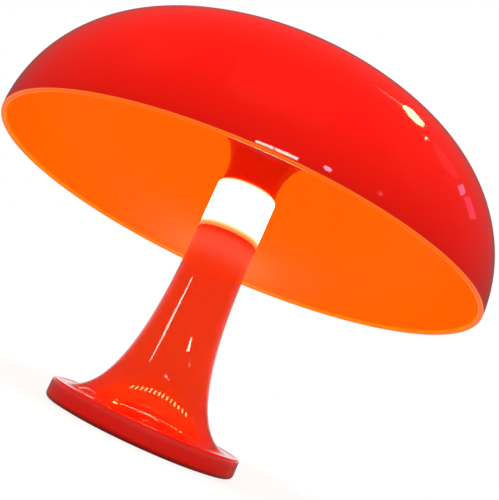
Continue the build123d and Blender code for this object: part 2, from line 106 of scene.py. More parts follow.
def arcAbout(bm, tip, x, z, turn, steps):
    # a positive turn is anticlockwise, with the axis of the lamp on the left
    made = bmesh.ops.spin(bm, geom=[tip], cent=(x * mm, 0, z * mm), axis=(0, -1, 0), angle=turn,
                          steps=steps)
    return next(item for item in made["geom_last"] if isinstance(item, bmesh.types.BMVert))


def curveTo(bm, tip, points, steps):
    # a Bezier curve through four control points given as (x, z)
    corners = [Vector((x, 0, z)) for x, z in points]
    for place in interpolate_bezier(*corners, steps + 1)[1:]:
        tip = lineTo(bm, tip, place.x, place.z)
    return tip


def lathe(bm, steps):
    bmesh.ops.spin(bm, geom=bm.verts[:] + bm.edges[:], cent=(0, 0, 0), axis=(0, 0, 1),
                   angle=math.tau, steps=steps, use_merge=True)
    bmesh.ops.remove_doubles(bm, verts=bm.verts, dist=0.001 * mm)  # closes the poles
    bmesh.ops.recalc_face_normals(bm, faces=bm.faces)


def turnOutline(points, steps):
    # a closed outline of straight runs, turned round the lamp's axis
    bm, start = startOutline(*points[0])
    tip = start
    for x, z in points[1:]:
        tip = lineTo(bm, tip, x, z)
    bm.edges.new((tip, start))
    lathe(bm, steps)
    return bm


sameSpot = 1e-6  # millimetres within which two points are one


def outline(width, height, radius, steps=8):
    # a rectangle with round corners, anticlockwise; a circle or a slot when they meet
    points = []
    for quarter, (right, up) in enumerate(((1, 1), (-1, 1), (-1, -1), (1, -1))):
        for step in range(steps + 1):
            angle = (quarter + step / steps) * math.pi / 2
            point = (right * (width / 2 - radius) + radius * math.cos(angle),
                     up * (height / 2 - radius) + radius * math.sin(angle))
            if not points or math.dist(point, points[-1]) > sameSpot:
                points.append(point)
    if math.dist(points[0], points[-1]) < sameSpot:
        points.pop()
    return points


def disc(radius, steps=8):
    return outline(2 * radius, 2 * radius, radius, steps)


def stack(bm, rings, place=Matrix()):
    # a closed solid extruded through outlines of equal counts, each at its height
    corners = [bm.verts.new((x * mm, y * mm, rings[0][1] * mm)) for x, y in rings[0][0]]
    top = bm.faces.new(corners)
    for points, z in rings[1:]:
        made = bmesh.ops.extrude_face_region(bm, geom=[top, *top.edges, *top.verts])
        top = next(item for item in made["geom"] if isinstance(item, bmesh.types.BMFace))
        for corner, (x, y) in zip(top.verts, points):
            corner.co = (x * mm, y * mm, z * mm)
        corners += top.verts
    bmesh.ops.transform(bm, matrix=place, verts=corners)
    faces = list({face for corner in corners for face in corner.link_faces})
    bmesh.ops.recalc_face_normals(bm, faces=faces)
    return faces


def wallFrame(degrees, radius, height):
    # a place on the foot's wall: X along it, Y up and Z outwards
    angle = math.radians(degrees)
    out = Vector((math.cos(angle), math.sin(angle), 0))
    up = Vector((0, 0, 1))
    axes = Matrix((up.cross(out), up, out)).transposed().to_4x4()
    return Matrix.Translation((out * radius + up * height) * mm) @ axes


def around(circle, degrees, height):
    angle = math.radians(degrees)
    return Matrix.Translation(Vector((circle * math.cos(angle), circle * math.sin(angle),
                                      height)) * mm)


def cutAway(bm, cutter):
    parts = []
    for name, form in (("kept", bm), ("cutter", cutter)):
        mesh = bpy.data.meshes.new(name)
        form.to_mesh(mesh)
        form.free()
        parts.append(bpy.data.objects.new(name, mesh))
        bpy.context.scene.collection.objects.link(parts[-1])
    boolean = parts[0].modifiers.new("cut", "BOOLEAN")
    boolean.object = parts[1]
    boolean.solver = "EXACT"
    cut = parts[0].evaluated_get(bpy.context.evaluated_depsgraph_get())
    made = bmesh.new()
    made.from_mesh(bpy.data.meshes.new_from_object(cut))
    for part in parts:
        bpy.data.objects.remove(part)
    return made


def finishPiece(name, bm, body, nodes, materials, sharpAngle=32):
    mesh = bpy.data.meshes.new(name)
    bm.to_mesh(mesh)
    bm.free()
    mesh.shade_smooth()
    mesh.set_sharp_from_angle(angle=math.radians(sharpAngle))
    for material in materials:
        mesh.materials.append(material)
    piece = bpy.data.objects.new(name, mesh)
    bpy.context.scene.collection.objects.link(piece)
    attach(piece, body)
    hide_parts(*nodes)
    return piece


# materials

def startMaterial(name, settings):
    material = bpy.data.materials.new(name)
    material.use_nodes = True
    tree = material.node_tree
    shader = tree.nodes["Principled BSDF"]
    for socket, value in settings.items():
        shader.inputs[socket].default_value = value
    place = addNode(tree, "ShaderNodeTexCoord", {}).outputs["Object"]
    return material, tree, shader, place


def mottle(tree, shader, place, colours, size):
    # two close tones of one colour, drifting over patches of a size in millimetres
    noise = addNode(tree, "ShaderNodeTexNoise", {"Scale": 1 / (size * mm), "Detail": 3.0},
                    {"Vector": place})
    mix = addNode(tree, "ShaderNodeMix", {"data_type": "RGBA"}, {"Factor": noise.outputs["Fac"]})
    mix.inputs["A"].default_value = linear(colours[0])
    mix.inputs["B"].default_value = linear(colours[1])
    tree.links.new(mix.outputs["Result"], shader.inputs["Base Color"])
    return mix.outputs["Result"]


def roughen(tree, shader, place, low, high, size):
    noise = addNode(tree, "ShaderNodeTexNoise", {"Scale": 1 / (size * mm), "Detail": 4.0},
                    {"Vector": place})
    spread = addNode(tree, "ShaderNodeMapRange", {"From Min": 0.3, "From Max": 0.7, "To Min": low,
                     "To Max": high}, {"Value": noise.outputs["Fac"]})
    tree.links.new(spread.outputs["Result"], shader.inputs["Roughness"])


def ripple(tree, shader, place, size, depth):
    noise = addNode(tree, "ShaderNodeTexNoise", {"Scale": 1 / (size * mm), "Detail": 2.0},
                    {"Vector": place})
    bump = addNode(tree, "ShaderNodeBump", {"Strength": 1.0, "Distance": depth * mm},
                   {"Height": noise.outputs["Fac"]})
    tree.links.new(bump.outputs["Normal"], shader.inputs["Normal"])


def polishedAbs(name, colours, low=0.04, high=0.07):
    # ABS from a polished mould: a deep even colour under a clear gloss
    material, tree, shader, place = startMaterial(name, {"IOR": 1.53, "Specular IOR Level": 0.36})
    mottle(tree, shader, place, colours, 70)
    roughen(tree, shader, place, low, high, 25)
    ripple(tree, shader, place, 9, 0.003)  # the faint waviness of a moulded gloss
    return material


def paintLightAndShade(material, s):
    # painted light and shade: a glow that stands in for the drum's light and for the lit dome that
    # the stem mirrors, none at the foot and palest by the mouth, and painted shade that deepens the
    # colour at the foot
    tree = material.node_tree
    shader = tree.nodes["Principled BSDF"]
    place = addNode(tree, "ShaderNodeTexCoord", {}).outputs["Object"]
    height = heightOf(tree, place)
    base = shader.inputs["Base Color"].links[0].from_socket
    climb = smoothStep(tree, height, s["paintedShadeUpTo"] * mm, s["fullFrom"] * mm)
    paintedShadeMix = addNode(tree, "ShaderNodeMix", {"data_type": "RGBA"}, {"Factor": climb})
    paintedShadeMix.inputs["A"].default_value = linear(s["paintedShade"])
    tree.links.new(base, paintedShadeMix.inputs["B"])
    tree.links.new(paintedShadeMix.outputs["Result"], shader.inputs["Base Color"])
    paintedGlow = smoothStep(tree, height, s["paintedGlowFrom"] * mm, s["paintedGlowTo"] * mm, 0.0, s["paintedGlow"])
    tree.links.new(paintedGlow, shader.inputs["Emission Strength"])
    low, high = s["paintedGlowStops"][0][0], s["paintedGlowStops"][-1][0]
    share = addNode(tree, "ShaderNodeMapRange", {"From Min": low * mm, "From Max": high * mm},
                    {"Value": height})
    ramp = addNode(tree, "ShaderNodeValToRGB", {}, {"Fac": share.outputs["Result"]})
    while len(ramp.color_ramp.elements) < len(s["paintedGlowStops"]):
        ramp.color_ramp.elements.new(0.5)
    for stop, (level, colour) in zip(ramp.color_ramp.elements, s["paintedGlowStops"]):
        stop.position = (level - low) / (high - low)
        stop.color = linear(colour)
    tree.links.new(ramp.outputs["Color"], shader.inputs["Emission Color"])
    return material


def insideAbs(name, s):
    # the same moulding's inner face, from a less polished core: a soft sheen, no clear images;
    # its orange is painted light, the red as the drum lights it, with a painted glow along the lip
    material, tree, shader, place = startMaterial(name, {
        "IOR": 1.53, "Specular IOR Level": 0.1, "Emission Color": linear(s["edgeColour"])})
    mottle(tree, shader, place, s["colours"], 60)
    roughen(tree, shader, place, 0.3, 0.38, 30)
    ripple(tree, shader, place, 1.2, 0.004)
    edge = smoothStep(tree, heightOf(tree, place), s["edgeTo"] * mm, s["edgeFrom"] * mm,
                      s["edgeGlow"], 0.0)
    tree.links.new(edge, shader.inputs["Emission Strength"])
    return material


def mouldedPlastic(name, colours, grain, depth, low, high):
    # plastic from a spark-eroded mould, or another even matt surface with a fine grain
    material, tree, shader, place = startMaterial(name, {"IOR": 1.5, "Specular IOR Level": 0.4})
    mottle(tree, shader, place, colours, 14)
    roughen(tree, shader, place, low, high, grain * 4)
    ripple(tree, shader, place, grain, depth)
    return material


def metal(name, colours, low, high, stretch, grain=0.4, depth=0.004):
    # brushed, drawn or plated metal; the stretch draws the grain out along one direction
    material, tree, shader, place = startMaterial(name, {"Metallic": 1.0})
    drawn = addNode(tree, "ShaderNodeMapping", {"Scale": stretch}, {"Vector": place})
    mottle(tree, shader, drawn.outputs["Vector"], colours, 3)
    roughen(tree, shader, drawn.outputs["Vector"], low, high, grain * 2)
    ripple(tree, shader, drawn.outputs["Vector"], grain, depth)
    return material


def solderMask(name, colours, track):
    # green lacquer over copper tracks, which show as a slightly raised and lighter grid
    material, tree, shader, place = startMaterial(name, {"IOR": 1.5, "Roughness": 0.3})
    tracks = addNode(tree, "ShaderNodeTexBrick", {
        "Scale": 1 / (10 * mm), "Color1": linear(colours[0]), "Color2": linear(colours[1]),
        "Mortar": linear(track), "Mortar Size": 0.035, "Brick Width": 0.34, "Row Height": 0.17},
        {"Vector": place})
    tree.links.new(tracks.outputs["Color"], shader.inputs["Base Color"])
    bump = addNode(tree, "ShaderNodeBump", {"Strength": 0.6, "Distance": 0.03 * mm},
                   {"Height": tracks.outputs["Fac"]})
    tree.links.new(bump.outputs["Normal"], shader.inputs["Normal"])
    return material


def opalPolycarbonate(name, s):
    # opal polycarbonate over lit strips: white in the middle, warmer where it ends
    material, tree, shader, place = startMaterial(name, {"IOR": 1.58})
    roughen(tree, shader, place, 0.3, 0.38, 20)
    ripple(tree, shader, place, 1.5, 0.003)
    height = heightOf(tree, place)
    rise = smoothStep(tree, height, s["bottom"] * mm, (s["bottom"] + s["lowEdge"]) * mm)
    fall = smoothStep(tree, height, s["top"] * mm, (s["top"] - s["highEdge"]) * mm)
    both = combine(tree, "MULTIPLY", rise, fall)
    warmth = addNode(tree, "ShaderNodeMix", {"data_type": "RGBA"}, {"Factor": both})
    warmth.inputs["A"].default_value = linear(s["edgeColour"])
    warmth.inputs["B"].default_value = linear(s["glowColour"])
    for socket in ("Base Color", "Emission Color"):
        tree.links.new(warmth.outputs["Result"], shader.inputs[socket])
    glow = addNode(tree, "ShaderNodeMapRange", {"To Min": s["edgeGlow"], "To Max": s["glow"]},
                   {"Value": both})
    tree.links.new(glow.outputs["Result"], shader.inputs["Emission Strength"])
    return material


# the shade, the neck and the stem are one kind of moulding; the neck's and the stem's colours are
# painted light, copies of the red as the drum's light leaves each
shadeRed = polishedAbs("polishedRedAbs", ("#F01104", "#F41606"))
neckRed = polishedAbs("polishedRedAbsPaintedNeckLight", ("#EE3216", "#F2371A"))
# painted light and shade on the stem: its glow and the paler band by the mouth, and the deeper red
# at the foot
stemRed = paintLightAndShade(polishedAbs("polishedRedAbsPaintedStemLight", ("#FC3E12", "#FF4416")), {
    "paintedShade": "#EC1505", "paintedShadeUpTo": 10.0, "fullFrom": 26.0, "paintedGlowFrom": 15.0, "paintedGlowTo": 60.0,
    "paintedGlow": 0.24, "paintedGlowStops": [(100.0, "#FF4F19"), (113.0, "#FF4F19"), (126.0, "#FF8E6E"),
                                (132.0, "#FF7E5C"), (136.0, "#F83010")]})
# painted light: the inside's lit orange, and a painted glow along its lip
shadeOrange = insideAbs("satinRedAbsPaintedLitOrange", {
    "colours": ("#F87300", "#F46E00"), "edgeColour": "#FF6C12", "edgeGlow": 0.7,
    "edgeTo": 142.2, "edgeFrom": 143.8})
# after a plastic's colours: grain and depth in millimetres, then the range of its roughness
finishes = {
    "shade_plastic": shadeRed, "stem_plastic": stemRed,
    # ABS from a spark-eroded mould: an even matt grain that hides scratches
    "cover_plastic": mouldedPlastic("texturedRedAbs", ("#9E1A10", "#921409"), 0.25, 0.03, 0.5,
                                    0.62),
    # moulded silicone rubber: matt, with the slight bloom that handling leaves
    "silicone": mouldedPlastic("mattSilicone", ("#2A2A2B", "#202021"), 0.35, 0.02, 0.6, 0.75),
    # natural nylon, moulded or turned: waxy and a little cloudy
    "nylon": mouldedPlastic("naturalNylon", ("#E4DFD0", "#D9D3C2"), 0.8, 0.01, 0.38, 0.5),
    # steel with bright zinc plating: cool grey under a soft bloom
    "zinc_steel": metal("zincPlatedSteel", ("#C6C8CC", "#AEB1B8"), 0.25, 0.38, (1, 1, 1)),
    # turned brass: fine rings round its axis
    "brass_insert": metal("turnedBrass", ("#C9A24E", "#B58D3C"), 0.22, 0.34, (0.2, 0.2, 3)),
    # extruded aluminium: faint die lines along its length
    "post_aluminium": metal("extrudedAluminium", ("#C9CBCD", "#B8BBBE"), 0.3, 0.42, (3, 3, 0.1)),
    # white lacquer on the strips: smooth, so that it throws the light out
    "strip_board": mouldedPlastic("whiteSolderMask", ("#F1F1EE", "#E9E9E5"), 0.6, 0.004, 0.3, 0.4),
    # yellow phosphor under clear resin: wet-looking
    "led": mouldedPlastic("phosphorResin", ("#F4DC6A", "#ECD05A"), 0.3, 0.004, 0.15, 0.25),
    # sand-cast iron under black paint: coarse and uneven
    "iron": mouldedPlastic("paintedCastIron", ("#353538", "#2A2A2D"), 0.9, 0.12, 0.45, 0.62),
    # glass-fibre board under green lacquer: glossy, with tracks that show through
    "circuit_board": solderMask("greenSolderMask", ("#0F5A2C", "#0C4F26"), "#1D7A40"),
    # moulded epoxy of the board's parts: dull black
    "component_black": mouldedPlastic("blackEpoxy", ("#1D1D1F", "#161618"), 0.3, 0.015, 0.45, 0.6),
    # drawn stainless steel: bright, with lines across the socket
    "socket_steel": metal("drawnStainless", ("#C4C5C6", "#AFB1B3"), 0.2, 0.32, (1, 0.1, 1)),
    # shrink sleeve on the cells: glossy PVC with slow waves
    "cell_wrap": mouldedPlastic("shrinkSleeve", ("#2C5D9E", "#27548F"), 2.5, 0.02, 0.2, 0.3),
    # rolled nickel strip: warm grey with the rolling lines along it
    "nickel": metal("nickelStrip", ("#C7C1B4", "#B5AEA0"), 0.25, 0.36, (0.2, 1, 1)),
    # silicone sleeves of the leads: soft and slightly dull
    "lead_red": mouldedPlastic("redSiliconeSleeve", ("#B4201A", "#A51B16"), 0.5, 0.006, 0.45, 0.55),
    "lead_black": mouldedPlastic("blackSiliconeSleeve", ("#1B1B1B", "#151515"), 0.5, 0.006, 0.45,
                                 0.55),
}
print("materials made")


# shade

shade = {
    "top": 259.2, "wall": 3.0, "bellyHeight": 146.4, "sideCentre": 69.0, "sideArc": 91.1,
    "crownArc": 211.65, "rimHeight": 141.0, "bossRadius": 8.0, "bossBottom": 238.0,
    "boreRadius": 4.5, "boreTop": 250.0, "crownSteps": 40, "sideSteps": 32, "lipSteps": 12,
    "turnSteps": 256, "underside": -0.2,  # faces that look down further than this are inner ones
}
shade["crownCentre"] = shade["top"] - shade["crownArc"]
shade["joinAngle"] = math.atan2(shade["bellyHeight"] - shade["crownCentre"], shade["sideCentre"])
shade["lipAngle"] = math.asin((shade["rimHeight"] + shade["wall"] / 4 - shade["bellyHeight"])
                              / shade["sideArc"])


def makeShade(s):
    # from the bore in the boss, out under the crown, round the lip and back over the top
    quarter = math.pi / 2
    innerCrown = s["crownArc"] - s["wall"]
    bossTurn = math.asin(s["bossRadius"] / innerCrown)
    ceiling = s["crownCentre"] + innerCrown * math.cos(bossTurn)
    lip = s["sideArc"] - s["wall"] / 2
    lipX = s["sideCentre"] + lip * math.cos(s["lipAngle"])
    lipZ = s["bellyHeight"] + lip * math.sin(s["lipAngle"])
    bm, tip = startOutline(0, s["boreTop"])
    for x, z in ((s["boreRadius"], s["boreTop"]), (s["boreRadius"], s["bossBottom"]),
                 (s["bossRadius"], s["bossBottom"]), (s["bossRadius"], ceiling)):
        tip = lineTo(bm, tip, x, z)
    crownTurn = quarter - s["joinAngle"]
    sideTurn = s["joinAngle"] - s["lipAngle"]
    tip = arcAbout(bm, tip, 0, s["crownCentre"], bossTurn - crownTurn, s["crownSteps"])
    tip = arcAbout(bm, tip, s["sideCentre"], s["bellyHeight"], -sideTurn, s["sideSteps"])
    tip = arcAbout(bm, tip, lipX, lipZ, math.pi, s["lipSteps"])
    tip = arcAbout(bm, tip, s["sideCentre"], s["bellyHeight"], sideTurn, s["sideSteps"])
    tip = arcAbout(bm, tip, 0, s["crownCentre"], crownTurn, s["crownSteps"])
    lathe(bm, s["turnSteps"])
    middle = Vector((0, 0, s["bellyHeight"] * mm))
    for face in bm.faces:
        facesIn = face.normal.dot(face.calc_center_median() - middle) < 0
        face.material_index = 1 if facesIn or face.normal.z < s["underside"] else 0
    return bm


finishPiece("domeShell", makeShade(shade), "shade", ["shade_dome"],
            [shadeRed, shadeOrange])
print("shade made")


# neck

neck = {
    "radius": 18.7, "wall": 2.2, "bottom": 172.1, "flareStart": 177.8, "flareArc": 36.5,
    "flareTurn": math.radians(48), "coveArc": 16.0, "flangeRadius": 90.0, "webBottom": 190.5,
    "webTop": 193.0, "webHole": 9.0, "steps": 24, "turnSteps": 160,
}


def makeNeck(n):
    # straight, an arc, a cone, then a cove that runs out along the inside of the crown
    ceiling = shade["crownArc"] - shade["wall"]
    face = ceiling - n["wall"]
    centre = shade["crownCentre"]
    turn = n["flareTurn"]
    along = Vector((math.sin(turn), math.cos(turn)))
    out = Vector((math.cos(turn), -math.sin(turn)))
    flare = Vector((n["radius"] + n["flareArc"], n["flareStart"]))
    coneFoot = flare - out * n["flareArc"]
    start = coneFoot + out * n["coveArc"] - Vector((0, centre))
    lead = start.dot(along)
    reach = math.sqrt(lead ** 2 - start.dot(start) + (face - n["coveArc"]) ** 2) - lead
    coneHead = coneFoot + along * reach
    cove = coneHead + out * n["coveArc"]
    coveEnd = math.atan2(cove.y - centre, cove.x)
    coveTurn = math.pi - turn - coveEnd
    lowTurn = coveEnd - math.acos((n["flangeRadius"] - n["wall"]) / face)
    highTurn = coveEnd - math.acos(n["flangeRadius"] / ceiling)
    tipAngle = math.acos(n["flangeRadius"] / ceiling)
    mouth = n["radius"] - n["wall"]
    webTurn = math.asin((n["webTop"] - n["flareStart"]) / (n["flareArc"] + n["wall"]))

    bm, start = startOutline(mouth, n["bottom"])
    tip = lineTo(bm, start, n["radius"], n["bottom"])
    tip = lineTo(bm, tip, n["radius"], n["flareStart"])
    tip = arcAbout(bm, tip, flare.x, flare.y, -turn, n["steps"])
    tip = lineTo(bm, tip, coneHead.x, coneHead.y)
    tip = arcAbout(bm, tip, cove.x, cove.y, -coveTurn, n["steps"])
    tip = arcAbout(bm, tip, 0, centre, -lowTurn, n["steps"])
    tip = lineTo(bm, tip, ceiling * math.cos(tipAngle), centre + ceiling * math.sin(tipAngle))
    tip = arcAbout(bm, tip, 0, centre, highTurn, n["steps"])
    tip = arcAbout(bm, tip, cove.x, cove.y, coveTurn, n["steps"])
    inside = coneFoot - out * n["wall"]
    tip = lineTo(bm, tip, inside.x, inside.y)
    tip = arcAbout(bm, tip, flare.x, flare.y, turn - webTurn, n["steps"])
    tip = lineTo(bm, tip, n["webHole"], n["webTop"])
    tip = lineTo(bm, tip, n["webHole"], n["webBottom"])
    tip = lineTo(bm, tip, mouth, n["webBottom"])
    bm.edges.new((tip, start))
    lathe(bm, n["turnSteps"])
    return bm


finishPiece("neckTrumpet", makeNeck(neck), "shade", ["neck_flare"], [neckRed])
print("neck made")


# light drum

drum = {
    "radius": 20.3, "bottom": 137.3, "top": 171.8, "wall": 2.0, "shoulder": 3.2, "hole": 12.4,
    "skirt": 17.7, "skirtWall": 1.8, "skirtBottom": 132.3, "bottomRound": 0.5,
    "roundSteps": 4, "steps": 12, "turnSteps": 128,
}


def makeDrum(d):
    quarter = math.pi / 2
    inside = d["radius"] - d["wall"]
    bore = d["skirt"] - d["skirtWall"]
    soft = d["bottomRound"]
    bm, start = startOutline(bore, d["skirtBottom"])
    tip = lineTo(bm, start, d["skirt"], d["skirtBottom"])
    tip = lineTo(bm, tip, d["skirt"], d["bottom"])
    tip = lineTo(bm, tip, d["radius"] - soft, d["bottom"])
    tip = arcAbout(bm, tip, d["radius"] - soft, d["bottom"] + soft, quarter, d["roundSteps"])
    tip = lineTo(bm, tip, d["radius"], d["top"] - d["shoulder"])
    tip = arcAbout(bm, tip, d["radius"] - d["shoulder"], d["top"] - d["shoulder"], quarter,
                   d["steps"])
    for x, z in ((d["hole"], d["top"]), (d["hole"], d["top"] - d["wall"]),
                 (inside - d["shoulder"] + d["wall"], d["top"] - d["wall"]),
                 (inside, d["top"] - d["shoulder"]), (inside, d["bottom"] + d["wall"]),
                 (bore, d["bottom"] + d["wall"])):
        tip = lineTo(bm, tip, x, z)
    bm.edges.new((tip, start))
    lathe(bm, d["turnSteps"])
    return bm


drumGlow = {
    "bottom": drum["bottom"], "top": drum["top"], "lowEdge": 6.5, "highEdge": 4.0, "glow": 2.4,
    "edgeGlow": 0.6, "glowColour": "#FFF3DA", "edgeColour": "#FF9A44",
}
opal = opalPolycarbonate("opalPolycarbonate", drumGlow)
finishes["opal"] = opal
finishPiece("lightDrum", makeDrum(drum), "base", ["diffuser"], [opal])
print("drum made")


# stem and foot

stem = {
    "radius": 20.6, "top": 137.3, "edge": 1.8, "flareTop": 134.6, "socket": 18.0,
    "bulkheadTop": 131.3, "bulkhead": 3.0, "wireHole": 4.5, "footRadius": 62.2,
    "footEdge": 12.9, "edgeRound": 1.3, "heelRound": 3.0, "wall": 2.5, "rimWall": 3.2,
    "bottom": 0.6, "pull": (18.7, -5.4), "lead": (2.8, 1.2), "insideLead": 1.0,
    "curveSteps": 72, "roundSteps": 8, "turnSteps": 224,
}


def makeStem(s):
    quarter = math.pi / 2
    edgeX = s["footRadius"] - s["edgeRound"]
    mouthX = s["radius"] - s["edge"]
    leadIn = (edgeX - s["lead"][0], s["footEdge"] + s["lead"][1])
    side = [(s["radius"], s["flareTop"]), s["pull"], leadIn, (edgeX, s["footEdge"])]
    inner = s["footRadius"] - s["rimWall"]
    roof = s["footEdge"] - s["wall"]
    ceiling = s["bulkheadTop"] - s["bulkhead"]
    inside = [(s["radius"] - s["wall"], s["flareTop"]),
              (s["pull"][0] - s["wall"], s["pull"][1] - s["wall"]),
              (leadIn[0] - s["insideLead"], leadIn[1] - s["wall"]), (inner, roof)]
    bm, start = startOutline(s["wireHole"], s["bulkheadTop"])
    tip = lineTo(bm, start, s["socket"], s["bulkheadTop"])
    tip = lineTo(bm, tip, s["socket"], s["top"])
    tip = lineTo(bm, tip, mouthX, s["top"])
    tip = arcAbout(bm, tip, mouthX, s["top"] - s["edge"], -quarter, s["roundSteps"])
    tip = lineTo(bm, tip, *side[0])
    tip = curveTo(bm, tip, side, s["curveSteps"])
    tip = arcAbout(bm, tip, edgeX, s["footEdge"] - s["edgeRound"], -quarter, s["roundSteps"])
    heel = s["bottom"] + s["heelRound"]
    tip = lineTo(bm, tip, s["footRadius"], heel)
    tip = arcAbout(bm, tip, s["footRadius"] - s["heelRound"], heel, -quarter, s["roundSteps"])
    tip = lineTo(bm, tip, inner, s["bottom"])
    tip = lineTo(bm, tip, inner, roof)
    tip = curveTo(bm, tip, inside[::-1], s["curveSteps"] // 2)
    tip = lineTo(bm, tip, s["radius"] - s["wall"], ceiling)
    tip = lineTo(bm, tip, s["wireHole"], ceiling)
    bm.edges.new((tip, start))
    lathe(bm, s["turnSteps"])
    return bm


port = {
    "degrees": 90, "height": 7.43, "width": 8.94, "thickness": 3.26, "gap": 0.2, "edge": 0.3,
    "shell": 0.3, "back": 54.65, "depth": 7.35, "floor": 1.4, "heel": 0.2, "lipRound": 0.12,
    "mouthEdge": 0.1, "tongue": (6.7, 0.7, 4.45), "tongueCorner": 0.1, "tongueEdge": 0.15,
    "contacts": 12, "pitch": 0.5, "contact": (0.25, 0.02, 3.2), "contactBack": 0.4,
    "steps": 12, "tongueSteps": 2,
}
button = {
    "degrees": 64, "height": 7.4, "radius": 2.6, "gap": 0.3, "edge": 0.3, "back": 57.15,
    "front": 5.75, "round": 0.45, "roundSteps": 6, "dish": 0.12,
    "dishRings": (0.75, 0.55, 0.35, 0.15), "ears": (9.0, 2.6, 0.6), "earEdge": 0.15,
    "earDepth": 1.2, "stalk": 1.25, "stalkEnd": -1.75, "steps": 12,
}


openingDepth = 6.0  # well past the wall


def wallOpening(bm, s, width, thickness):
    # a hole through the foot's wall with a small bevel round its mouth
    rings = []
    for out, grow in ((-openingDepth, 0), (-s["edge"], 0), (s["edge"] * 2, s["edge"] * 3)):
        wide, high = width + 2 * (s["gap"] + grow), thickness + 2 * (s["gap"] + grow)
        rings.append((outline(wide, high, high / 2, s["steps"]), out))
    stack(bm, rings, wallFrame(s["degrees"], stem["footRadius"], s["height"]))


def makeOpenings():
    bm = bmesh.new()
    wallOpening(bm, port, port["width"], port["thickness"])
    wallOpening(bm, button, 2 * button["radius"], 2 * button["radius"])
    return bm


finishPiece("stemAndFoot", cutAway(makeStem(stem), makeOpenings()), "base",
            ["stem_housing"], [stemRed])
print("stem made")


# power button and charging socket

def makeButton(s):
    # a stalk to the switch, two ears that hold it behind the wall, and the round cap
    place = wallFrame(s["degrees"], s["back"], s["height"])
    bm = bmesh.new()
    stack(bm, [(disc(s["stalk"]), s["stalkEnd"]), (disc(s["stalk"]), 0)], place)
    width, height, corner = s["ears"]
    soft, depth = s["earEdge"], s["earDepth"]
    full = outline(width, height, corner)
    small = outline(width - 2 * soft, height - 2 * soft, corner - soft)
    stack(bm, [(small, 0), (full, soft), (full, depth - soft), (small, depth)], place)
    rings = [(disc(s["radius"], s["steps"]), depth)]
    for step in range(s["roundSteps"] + 1):
        angle = step / s["roundSteps"] * math.pi / 2
        rings.append((disc(s["radius"] - s["round"] * (1 - math.cos(angle)), s["steps"]),
                      s["front"] - s["round"] * (1 - math.sin(angle))))
    for share in s["dishRings"]:
        inner = (s["radius"] - s["round"]) * share
        rings.append((disc(inner, s["steps"]), s["front"] - s["dish"] * (1 - share ** 2)))
    stack(bm, rings, place)
    return bm


finishPiece("powerButton", makeButton(button), "button", ["power_button"],
            [stemRed])


def makeSocket(s):
    place = wallFrame(s["degrees"], s["back"], s["height"])
    depth, lip, mouth = s["depth"], s["lipRound"], s["mouthEdge"]
    bm = bmesh.new()
    rings = []
    for inset, at in ((s["heel"], 0), (0, s["heel"]), (0, depth - lip), (lip / 3, depth - lip / 3),
                      (lip, depth), (s["shell"] - mouth, depth), (s["shell"], depth - mouth),
                      (s["shell"], s["floor"])):
        high = s["thickness"] - 2 * inset
        rings.append((outline(s["width"] - 2 * inset, high, high / 2, s["steps"]), at))
    stack(bm, rings, place)
    width, height, length = s["tongue"]
    corner, edge, steps = s["tongueCorner"], s["tongueEdge"], s["tongueSteps"]
    front = s["floor"] + length
    blunt = outline(width, height, corner, steps)
    rings = [(blunt, s["floor"] - corner), (blunt, front - edge),
             (outline(width - 2 * edge, height - 2 * edge, corner, steps), front)]
    for face in stack(bm, rings, place):
        face.material_index = 1
    wide, proud, long = s["contact"]
    for side in (-1, 1):
        for at in range(s["contacts"]):
            x = (at - (s["contacts"] - 1) / 2) * s["pitch"]
            y = side * (height + proud) / 2
            pad = [(x + a * wide / 2, y + b * proud / 2)
                   for a, b in ((1, 1), (-1, 1), (-1, -1), (1, -1))]
            end = front - s["contactBack"]
            for face in stack(bm, [(pad, end - long), (pad, end)], place):
                face.material_index = 2
    return bm


# hard gold plating on the contacts: warm and nearly a mirror
goldContact = metal("goldPlate", ("#E0B755", "#D1A544"), 0.18, 0.26, (1, 1, 1), 0.1, 0.001)
finishPiece("chargeSocket", makeSocket(port), "base", ["charge_socket"],
            [finishes["socket_steel"], finishes["component_black"], goldContact])
print("button and socket made")


# underside: cover, pad and screws

cover = {
    "radius": 58.7, "bottom": 1.0, "top": 3.4, "edge": 0.3, "groove": (43.9, 56.1, 1.6),
    "screwCircle": 38.0, "screwDegrees": (30, 150, 210, 330), "recess": 3.1, "seat": 2.4,
    "hole": 1.7, "sinkCircle": 47.0, "sinkDegrees": (0, 180, 270), "sink": 3.05,
    "soft": 0.2, "turnSteps": 180, "past": 0.3,  # how far a cutter reaches beyond the plate
}


def makeCover(s):
    inner, outer, floor = s["groove"]
    bottom, edge, soft, past = s["bottom"], s["edge"], s["soft"], s["past"]
    bm = turnOutline([(0, bottom), (inner - soft, bottom), (inner, bottom + soft), (inner, floor),
                      (outer, floor), (outer, bottom + soft), (outer + soft, bottom),
                      (s["radius"] - edge, bottom), (s["radius"], bottom + edge),
                      (s["radius"], s["top"]), (0, s["top"])], s["turnSteps"])
    cutter = bmesh.new()
    for at in s["screwDegrees"]:
        rings = [(disc(s["recess"] + soft + past), bottom - past),
                 (disc(s["recess"]), bottom + soft), (disc(s["recess"]), s["seat"]),
                 (disc(s["hole"]), s["seat"]), (disc(s["hole"]), s["top"] + past)]
        stack(cutter, rings, around(s["screwCircle"], at, 0))
    for at in s["sinkDegrees"]:
        rings = [(disc(s["sink"]), floor - past), (disc(s["sink"]), floor),
                 (disc(s["hole"]), s["top"]), (disc(s["hole"]), s["top"] + past)]
        stack(cutter, rings, around(s["sinkCircle"], at, 0))
    return cutAway(bm, cutter)


finishPiece("baseCover", makeCover(cover), "base", ["base_plate"],
            [finishes["cover_plastic"]])

pad = {"inner": 44.0, "outer": 56.0, "top": 1.6, "round": 0.4, "steps": 5, "turnSteps": 180}


